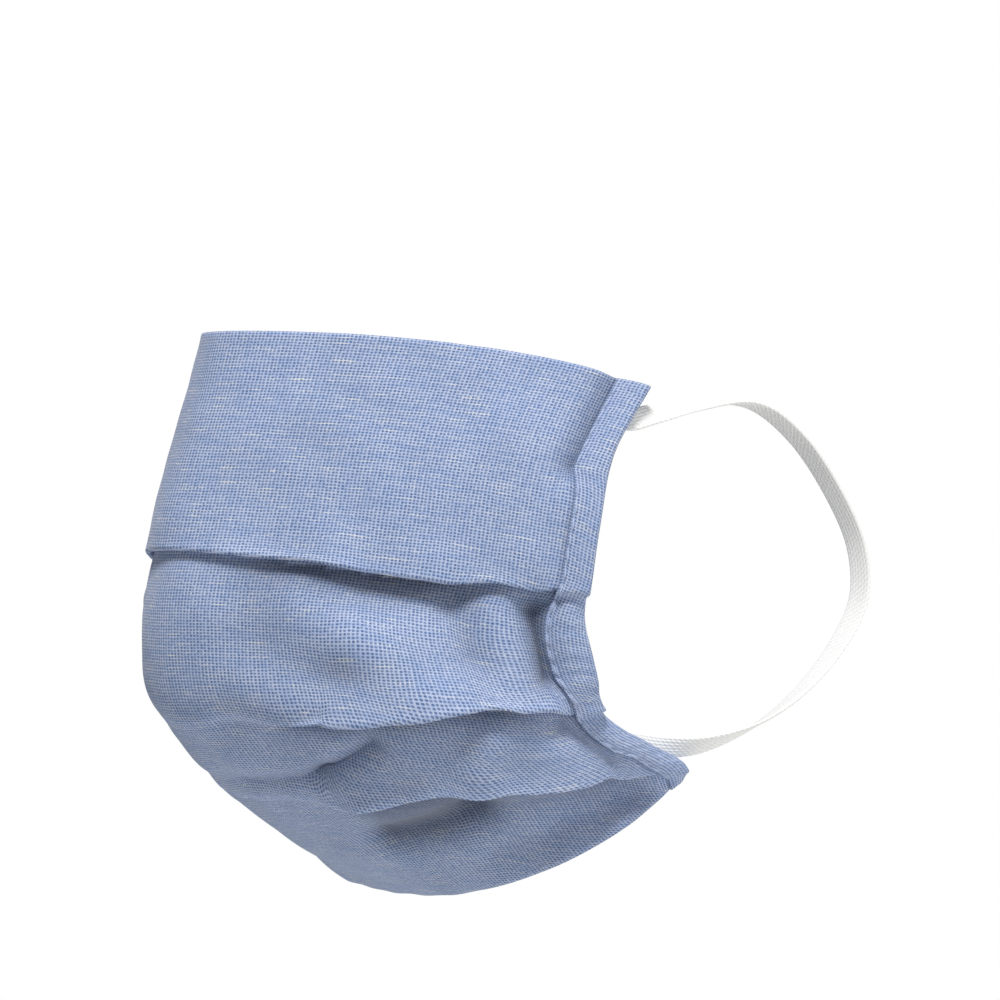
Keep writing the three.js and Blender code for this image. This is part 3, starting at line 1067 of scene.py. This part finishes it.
class FACE_MASK_OT_panel(Operator):
    """Build the pleated panel: one cloth folded into three pleats that open over the nose, mouth and chin"""

    bl_idname = "face_mask.panel"
    bl_label = "Pleated panel"

    def execute(self, context):
        cloth = context.scene.mask_cloth
        casing = context.scene.mask_casing
        reach = 1 - (casing.thickness + casing.gap + EDGE_ROOM) / HALF_WIDTH
        columns = Columns(np.linspace(-reach, reach, 2 * HALF_COLUMNS + 1), cloth.ripple)
        outer, inner, along = cloth_faces(columns, cloth)
        rows, count = along.shape
        uv = columns.weave(along)
        wear_and_painted_light = cloth_wear_and_painted_light(columns, along, pleat_folds(columns, cloth))

        numbers = np.arange(rows * count).reshape(rows, count)
        inside = numbers + rows * count
        faces = np.vstack(
            [
                grid_faces(rows, count)[:, ::-1],
                grid_faces(rows, count, first=rows * count),
                strip_faces(numbers[0], inside[0]),
                strip_faces(inside[-1], numbers[-1]),
                strip_faces(inside[:, 0], numbers[:, 0]),
                strip_faces(numbers[:, -1], inside[:, -1]),
            ]
        )
        piece = make_piece(
            "chambray_panel",
            np.vstack([outer.reshape(-1, 3), inner.reshape(-1, 3)]),
            faces,
            np.vstack([uv, uv]),
            woven_chambray(cloth, "woven_chambray", wear_and_painted_light=True),
            np.vstack([wear_and_painted_light, wear_and_painted_light]),
        )
        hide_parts("pleated_panel")
        return {"FINISHED"}


class Casing:
    """The shape of one side casing: where its two walls lie at any distance in from the hem."""

    def __init__(self, side, cloth, casing):
        self.side = side
        self.cloth = cloth
        self.casing = casing
        self.radius = turn_radius(cloth)

    def columns(self, insets):
        """Lines down the worn surface at distances in from the hem."""
        return Columns(self.side * (1 - np.asarray(insets) / HALF_WIDTH), self.cloth.ripple)

    def stations(self, columns):
        """Distances along the columns where the casing's sections lie, from the top edge down."""
        clear, step = self.casing.clear, self.casing.step
        breaks = [columns.at_row(0)]
        for pleat in PLEATS:
            edge = columns.at_row(pleat["row"])
            breaks += [edge + clear, edge + clear + step]
        breaks.append(columns.at_row(len(ROWS) - 1))
        parts = []
        for k in range(len(breaks) - 1):
            faces = STEP_FACES if k % 2 else CASING_FACES
            parts.append(mix(breaks[k], breaks[k + 1], np.linspace(0, 1, faces + 1)[:-1, None]))
        return np.vstack([*parts, breaks[-1][None]])

    def stack_height(self, columns, along):
        """The height of the cloth under the casing, with a soft step down past each pleat's edge."""
        folds = pleat_folds(columns, self.cloth)
        height = panel_height(along, None, folds[0], self.radius)
        for k, fold in enumerate(folds):
            below = folds[k + 1] if k + 1 < len(folds) else None
            start = fold["edge"] + self.casing.clear
            after = panel_height(along, fold, below, self.radius)
            height = mix(height, after, ease(along, start, start + self.casing.step))
        return height

    def pull(self, insets, along):
        """How far the stitching pulls the wall in, which swells between the seam and the fold."""
        pitch = self.casing.stitch_length + self.casing.stitch_space
        beat = np.cos(2 * math.pi * along / pitch)
        near = np.exp(-(((insets - self.casing.stitch_inset) / PULL_WIDTH) ** 2))
        beside = np.sin(np.pi * np.clip(insets / self.casing.stitch_inset, 0, 1))
        pull = near * (SEAM_PULL[0] + SEAM_PULL[1] * beat)
        swell = beside * (WALL_SWELL[0] + WALL_SWELL[1] * beat)
        return self.casing.pucker * (pull - swell)

    def walls(self, columns, insets, along):
        """Heights of the casing's outer and inner faces, seen from outside and from inside the mask."""
        clear = self.cloth.thickness / 2 + self.casing.gap + self.casing.thickness
        pull = self.pull(insets, along)
        out = self.stack_height(columns, along) + clear - pull
        return out, -clear + pull


def casing_section(casing):
    """The casing's folded section, as distances in from the hem and sides: 1 outside, -1 inside."""
    arm = np.linspace(casing.width, CASING_TURN, CASING_ARM_FACES + 1)[:-1]
    turn = np.linspace(0, math.pi, CASING_TURN_FACES + 1)
    section = [(inset, 1.0) for inset in arm]
    section += [(CASING_TURN * (1 - math.sin(angle)), math.cos(angle)) for angle in turn]
    section += [(inset, -1.0) for inset in arm[::-1]]
    return np.array(section).T


class FACE_MASK_OT_casings(Operator):
    """Build the casing folded round each side edge, stepped over the pleats and pulled in at its stitching"""

    bl_idname = "face_mask.casings"
    bl_label = "Side casings"

    def execute(self, context):
        cloth = context.scene.mask_cloth
        casing = context.scene.mask_casing
        material = woven_chambray(cloth, "woven_chambray_casing", wear_and_painted_light=False)
        inward, facing = casing_section(casing)
        for side, name in SIDES:
            shape = Casing(side, cloth, casing)
            skins = []
            for depth in (0, casing.thickness):
                turned = mix(depth, CASING_TURN, inward / CASING_TURN)
                insets = np.where(inward < CASING_TURN, turned, inward)
                columns = shape.columns(insets)
                along = shape.stations(columns)
                out, back = shape.walls(columns, insets, along)
                middle = (out + back) / 2
                half = (out - back) / 2 - depth
                skins.append(columns.place(along, middle + half * facing))
            ring = np.concatenate([skins[0], skins[1][:, ::-1]], axis=1)
            rows, width = ring.shape[:2]
            uv = np.stack([run_length(ring, axis=1), -run_length(ring, axis=0)], axis=-1)
            uv = uv.reshape(-1, 2) / MM
            line = np.arange(width // 2)
            top = strip_faces(line, width - 1 - line)
            bottom = top[:, ::-1] + (rows - 1) * width
            faces = np.vstack([grid_faces(rows, width, wrap=True)[:, ::-1], top, bottom])
            if side < 0:
                faces = faces[:, ::-1]
            piece = make_piece(f"casing_{name}", ring.reshape(-1, 3), faces, uv, material)
            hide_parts(f"side_casing_{name}")
        return {"FINISHED"}


def stitch_arch(width, proud):
    """Shares along a stitch from end to end, and the height of its thread's middle at each of them."""
    share = np.linspace(0, 1, STITCH_RINGS)
    return share, width * (proud - ENDS_SINK * (1 - np.sqrt(np.sin(math.pi * share))))


def thread_stitches(centres, outward_way, width):
    """Stitches of thread as closed tubes, each from a line of centres and the way out of the cloth."""
    stitches, rings = centres.shape[:2]
    along = unit(np.gradient(centres, axis=1))
    out = unit(outward_way - np.sum(outward_way * along, axis=2, keepdims=True) * along)
    side = np.cross(along, out)
    angle = np.linspace(0, 2 * math.pi, STITCH_SIDES, endpoint=False)
    taper = np.sqrt(np.sin(np.linspace(END_ANGLE, math.pi - END_ANGLE, rings)))
    radius = width / 2 * mix(END_WIDTH, 1, taper)[None, :, None, None]
    reach = np.cos(angle)[:, None] * out[:, :, None] + np.sin(angle)[:, None] * side[:, :, None]
    places = centres[:, :, None] + radius * reach
    run = run_length(centres, axis=1)
    uv = np.stack(np.broadcast_arrays(angle * width / 2, run[:, :, None]), axis=-1)
    faces = []
    for k in range(stitches):
        first = k * rings * STITCH_SIDES
        faces += grid_faces(rings, STITCH_SIDES, first, wrap=True).tolist()
        faces.append(list(range(first, first + STITCH_SIDES))[::-1])
        last = first + (rings - 1) * STITCH_SIDES
        faces.append(list(range(last, last + STITCH_SIDES)))
    return places.reshape(-1, 3), faces, uv.reshape(-1, 2) / MM


class FACE_MASK_OT_stitching(Operator):
    """Sew the casings down with one row of thread, which shows on the outside and on the inside"""

    bl_idname = "face_mask.stitching"
    bl_label = "Casing stitching"

    def execute(self, context):
        cloth = context.scene.mask_cloth
        casing = context.scene.mask_casing
        material = spun_polyester(casing, "spun_polyester")
        pitch = casing.stitch_length + casing.stitch_space
        share, arch = stitch_arch(casing.thread_width, SEAM_PROUD)
        for side, name in SIDES:
            shape = Casing(side, cloth, casing)
            columns = shape.columns([casing.stitch_inset])
            starts = np.arange(pitch / 2, columns.lengths[-1, 0] - pitch, pitch)
            centres = []
            ways = []
            for wall, shift in ((1, 0), (-1, pitch / 2)):
                along = (starts[:, None] + shift + share * casing.stitch_length).reshape(-1, 1)
                out, back = shape.walls(columns, np.array([casing.stitch_inset]), along)
                lift = np.tile(arch, len(starts))[:, None]
                height = out + lift if wall > 0 else back - lift
                normals = columns.sample(columns.normals, along)
                centres.append(columns.place(along, height).reshape(-1, STITCH_RINGS, 3))
                ways.append(wall * normals.reshape(-1, STITCH_RINGS, 3))
            centres, ways = np.vstack(centres), np.vstack(ways)
            places, faces, uv = thread_stitches(centres, ways, casing.thread_width)
            piece = make_piece(f"casing_stitching_{name}", places, faces, uv, material)
        return {"FINISHED"}


def sewn_end(side, row, cloth, casing, elastic):
    """Places and normals of a loop's sewn end, flat inside the casing, from its tip to the hem."""
    insets = np.array([SEWN_LENGTH, SEWN_LENGTH / 2, 0])
    columns = Columns(side * (1 - insets / HALF_WIDTH), cloth.ripple)
    wall = cloth.thickness / 2 + casing.gap + casing.thickness
    depth = wall + elastic.seat_gap + elastic.thickness / 2
    along = columns.at_row(row)[None]
    normals = unit(columns.sample(columns.normals, along))[0]
    return columns.place(along, np.zeros(along.shape))[0] - normals * depth, normals


def loop_frames(side, cloth, casing, elastic):
    """The middle of a loop's band with the ways that its face and its edge look, from end to end."""
    (upper, upper_ways), (lower, lower_ways) = (
        sewn_end(side, row, cloth, casing, elastic) for row in LOOP_END_ROWS
    )
    start, end = upper[-1], lower[-1]
    route = []
    for at in LOOP_ROUTE:
        bow = np.array([side * elastic.flare * at["out"], elastic.reach * at["back"], 0])
        route.append(mix(start, end, at["down"]) + bow)
    points = np.vstack([upper, route, lower[::-1]])
    ways = np.vstack([upper_ways, np.zeros((len(route), 3)), lower_ways[::-1]])
    for k, at in enumerate(LOOP_ROUTE, len(upper)):
        tangent = unit(points[k + 1] - points[k - 1])
        away = unit(np.cross((1, 0, 0), tangent))
        turn = math.radians(at["twist"])
        ways[k] = away * math.cos(turn) + np.array([side, 0, 0]) * math.sin(turn)
    at = np.linspace(0, len(points) - 1, (len(points) - 1) * LOOP_FACES + 1)
    centres = smooth_track(points, at)
    tangents = unit(np.gradient(centres, axis=0))
    facing = np.column_stack([np.interp(at, np.arange(len(ways)), way) for way in ways.T])
    facing = soften(facing, LOOP_FACES // 2)
    facing = unit(facing - np.sum(facing * tangents, axis=1, keepdims=True) * tangents)
    return centres, facing, np.cross(facing, tangents)


def soften(values, reach):
    """Averages each line of values with its neighbours."""
    padded = np.pad(values, ((reach, reach), (0, 0)), mode="edge")
    window = np.ones(2 * reach + 1) / (2 * reach + 1)
    return np.column_stack([np.convolve(column, window, "valid") for column in padded.T])


def band_section(elastic):
    """The elastic's section, as places across it and through it: flat, round-edged and ribbed."""
    across = np.sin(np.linspace(-math.pi / 2, math.pi / 2, RIB_FACES * elastic.ribs + 1))
    rib = np.abs(np.sin(elastic.ribs * math.pi * (across + 1) / 2))
    edge = np.sqrt(1 - np.abs(across) ** BAND_SQUARENESS)
    half = elastic.thickness / 2 * mix(RIB_VALLEY, 1, rib) * edge
    over = np.column_stack([across * elastic.width / 2, half])
    return np.vstack([over, (over * [1, -1])[-2:0:-1]])


class FACE_MASK_OT_loops(Operator):
    """Build the ear loops of flat elastic, sewn down inside the casings"""

    bl_idname = "face_mask.loops"
    bl_label = "Ear loops"

    def execute(self, context):
        cloth = context.scene.mask_cloth
        casing = context.scene.mask_casing
        elastic = context.scene.mask_elastic
        material = knitted_elastic(elastic, "knitted_elastic")
        thread = spun_polyester(casing, "spun_polyester_tacks")
        section = band_section(elastic)
        around = run_length(section, axis=0)
        for side, name in SIDES:
            centres, facing, edgeways = loop_frames(side, cloth, casing, elastic)
            places = (
                centres[:, None]
                + section[None, :, :1] * edgeways[:, None]
                + section[None, :, 1:] * facing[:, None]
            )
            rings, width = places.shape[:2]
            run = run_length(centres, axis=0)
            uv = np.stack(np.broadcast_arrays(around[None], run[:, None]), axis=-1)
            faces = grid_faces(rings, width, wrap=True)[:, ::-1].tolist()
            faces.append(list(range(width)))
            faces.append(list(range((rings - 1) * width, rings * width))[::-1])
            places, uv = places.reshape(-1, 3), uv.reshape(-1, 2) / MM
            piece = make_piece(f"elastic_loop_{name}", places, faces, uv, material)
            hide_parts(f"ear_loop_{name}")
            self.tack(casing, elastic, centres, facing, edgeways, thread, name)
        return {"FINISHED"}

    def tack(self, casing, elastic, centres, facing, edgeways, thread, name):
        """Sews each end of a loop down with two short rows of stitches across the band."""
        run = run_length(centres, axis=0)
        share, arch = stitch_arch(casing.thread_width, TACK_PROUD)
        depth = elastic.thickness / 2 * TACK_DEPTH + arch
        lines = []
        ways = []
        for inset in TACK_INSETS:
            for distance in (inset, run[-1] - inset):
                ring = int(np.searchsorted(run, distance))
                inner = centres[ring] - depth[:, None] * facing[ring]
                for k in range(TACKS_ACROSS):
                    over = ((k + share * TACK_LENGTH) / TACKS_ACROSS - 0.5) * TACKED_WIDTH * elastic.width
                    lines.append(inner + over[:, None] * edgeways[ring])
                    ways.append(np.broadcast_to(-facing[ring], (STITCH_RINGS, 3)))
        places, faces, uv = thread_stitches(np.array(lines), np.array(ways), casing.thread_width)
        piece = make_piece(f"loop_tacks_{name}", places, faces, uv, thread)


# The photograph's view, with the lens in millimetres: the camera stands level, 52 degrees round from
# the wearer's front
CAMERA_PLACE = Vector((0.8346, -0.5726, -0.0374))
CAMERA_AIM = Vector((-0.788, 0.616, 0))
CAMERA_LENS = 163.6
MASK_MIDDLE = Vector((0.01, 0.04, -0.06))


def point_at(thing, aim):
    """Turns a light or camera to look along a direction."""
    thing.rotation_euler = aim.to_track_quat("-Z", "Y").to_euler()


def add_light(name, place, size, power):
    """Adds a square soft light that looks at the middle of the mask."""
    light = bpy.data.lights.new(name, "AREA")
    light.size = size
    light.energy = power
    thing = bpy.data.objects.new(name, light)
    thing.location = place
    point_at(thing, MASK_MIDDLE - Vector(place))
    bpy.context.scene.collection.objects.link(thing)


class FACE_MASK_OT_stage(Operator):
    """Set the pale floor, the soft studio light, the white surround and the camera"""

    bl_idname = "face_mask.stage"
    bl_label = "Stage"

    def execute(self, context):
        scene = context.scene
        stage = scene.mask_stage
        angle = np.linspace(0, 2 * math.pi, FLOOR_SIDES, endpoint=False)
        rim = np.column_stack([np.cos(angle), np.sin(angle), 0 * angle]) * stage.floor_radius
        mesh = bpy.data.meshes.new("floor")
        mesh.from_pydata((rim + [0, 0, stage.floor_height]).tolist(), [], [list(range(len(rim)))])
        mesh.materials.append(matt_paper(stage, "matt_paper"))
        floor = bpy.data.objects.new("floor", mesh)
        scene.collection.objects.link(floor)

        add_light("key_light", place=(0.6, -0.56, 1.44), size=0.5, power=stage.key_power)
        add_light("side_light", place=(1.3, 0.8, -0.08), size=0.9, power=stage.fill_power)

        camera = bpy.data.objects.new("camera", bpy.data.cameras.new("camera"))
        camera.data.lens = CAMERA_LENS
        camera.data.clip_start = 10 * MM
        camera.location = CAMERA_PLACE
        point_at(camera, CAMERA_AIM)
        scene.collection.objects.link(camera)
        scene.camera = camera
        self.surround(scene, stage)
        return {"FINISHED"}

    def surround(self, scene, stage):
        """Lights the mask evenly from all round, and shows plain white behind it."""
        world = bpy.data.worlds.new("white_surround")
        world.use_nodes = True
        tree = world.node_tree
        tree.nodes.clear()
        seen = add_node(tree, "ShaderNodeLightPath").outputs["Is Camera Ray"]
        lights, shows = (
            add_node(tree, "ShaderNodeBackground", inputs={"Color": (1, 1, 1, 1), "Strength": strength})
            for strength in (stage.sky_strength, 1)
        )
        both = add_node(
            tree, "ShaderNodeMixShader", inputs={0: seen, 1: lights.outputs[0], 2: shows.outputs[0]}
        )
        add_node(tree, "ShaderNodeOutputWorld", inputs={"Surface": both.outputs[0]})
        scene.world = world
        scene.view_settings.view_transform = "Standard"


class FACE_MASK_PT_sidebar(Panel):
    """Lists the mask's pieces with their sizes and colours"""

    bl_label = "Face mask"
    bl_idname = "FACE_MASK_PT_sidebar"
    bl_space_type = "VIEW_3D"
    bl_region_type = "UI"
    bl_category = "Face mask"

    def draw(self, context):
        scene = context.scene
        groups = (
            (scene.mask_cloth, ("face_mask.panel",)),
            (scene.mask_casing, ("face_mask.casings", "face_mask.stitching")),
            (scene.mask_elastic, ("face_mask.loops",)),
            (scene.mask_stage, ("face_mask.stage",)),
        )
        for settings, operators in groups:
            box = self.layout.box()
            for operator in operators:
                box.operator(operator)
            for name in settings.__annotations__:
                box.prop(settings, name)


SETTINGS = {
    "mask_cloth": ClothSettings,
    "mask_casing": CasingSettings,
    "mask_elastic": ElasticSettings,
    "mask_stage": StageSettings,
}

OPERATORS = (
    FACE_MASK_OT_panel,
    FACE_MASK_OT_casings,
    FACE_MASK_OT_stitching,
    FACE_MASK_OT_loops,
    FACE_MASK_OT_stage,
)

CLASSES = (*SETTINGS.values(), *OPERATORS, FACE_MASK_PT_sidebar)


def register():
    """Adds the classes to Blender and the settings to its scenes."""
    for added in CLASSES:
        bpy.utils.register_class(added)
    for name, settings in SETTINGS.items():
        setattr(bpy.types.Scene, name, PointerProperty(type=settings))


def unregister():
    """Takes the settings and the classes away again."""
    for name in SETTINGS:
        delattr(bpy.types.Scene, name)
    for added in reversed(CLASSES):
        bpy.utils.unregister_class(added)


def main():
    """Builds every piece and the stage."""
    register()
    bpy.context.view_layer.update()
    bpy.ops.face_mask.panel()
    bpy.ops.face_mask.casings()
    bpy.ops.face_mask.stitching()
    bpy.ops.face_mask.loops()
    bpy.ops.face_mask.stage()


if __name__ == "__main__":
    main()
